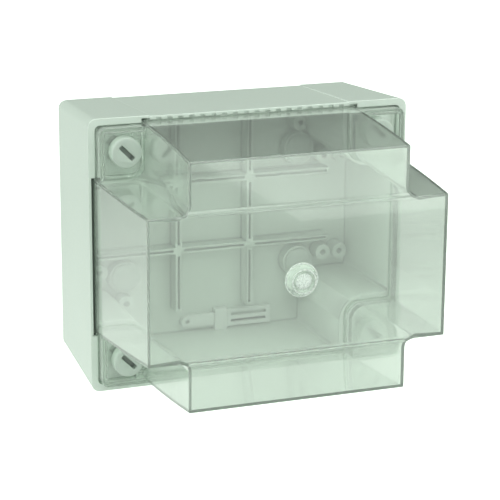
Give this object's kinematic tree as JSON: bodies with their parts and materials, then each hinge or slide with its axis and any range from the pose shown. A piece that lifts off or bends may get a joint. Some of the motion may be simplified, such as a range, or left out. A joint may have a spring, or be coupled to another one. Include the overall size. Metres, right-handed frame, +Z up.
{
  "type": "junction box",
  "caption": "Wall-mounted electrical junction box: opaque moulded base and a deep clear cross-shaped lid over a gasket, closed by quarter-turn screws in recessed corners.",
  "frame": {"origin": "centre of the flat back face, on the wall", "axes": "X to the right along the width, Z up, +Y into the wall, so the clear front looks along -Y"},
  "size_m": [0.16, 0.131, 0.132],
  "materials": {
    "base_plastic": "fine moulded grain",
    "lid_clear": "clear, polished",
    "seal_rubber": "smooth",
    "screw_plastic": "satin",
    "cap_plastic": "satin",
    "strap_plastic": "satin"
  },
  "bodies": {
    "base": {"base": "base_plastic", "gasket": "seal_rubber", "fixing_cap_upper_left": "cap_plastic", "fixing_cap_upper_right": "cap_plastic", "fixing_cap_lower_left": "cap_plastic", "fixing_cap_lower_right": "cap_plastic", "retaining_strap": "strap_plastic"},
    "lid": {"lid": "lid_clear"},
    "lid_screw_upper_left": {"lid_screw_upper_left": "screw_plastic"},
    "lid_screw_upper_right": {"lid_screw_upper_right": "screw_plastic"},
    "lid_screw_lower_left": {"lid_screw_lower_left": "screw_plastic"},
    "lid_screw_lower_right": {"lid_screw_lower_right": "screw_plastic"}
  },
  "joints": [
    {"name": "lid_lift", "type": "slide", "parent": "base", "child": "lid", "axis": [0, -1, 0], "range_m": [0, 0.08]},
    {"name": "screw_turn_upper_left", "type": "hinge", "parent": "lid", "child": "lid_screw_upper_left", "pos_m": [-0.0635, -0.0635, 0.0505], "axis": [0, 1, 0], "range_deg": [0, 90]},
    {"name": "screw_turn_upper_right", "type": "hinge", "parent": "lid", "child": "lid_screw_upper_right", "pos_m": [0.0635, -0.0635, 0.0505], "axis": [0, 1, 0], "range_deg": [0, 90]},
    {"name": "screw_turn_lower_left", "type": "hinge", "parent": "lid", "child": "lid_screw_lower_left", "pos_m": [-0.0635, -0.0635, -0.0505], "axis": [0, 1, 0], "range_deg": [0, 90]},
    {"name": "screw_turn_lower_right", "type": "hinge", "parent": "lid", "child": "lid_screw_lower_right", "pos_m": [0.0635, -0.0635, -0.0505], "axis": [0, 1, 0], "range_deg": [0, 90]}
  ]
}
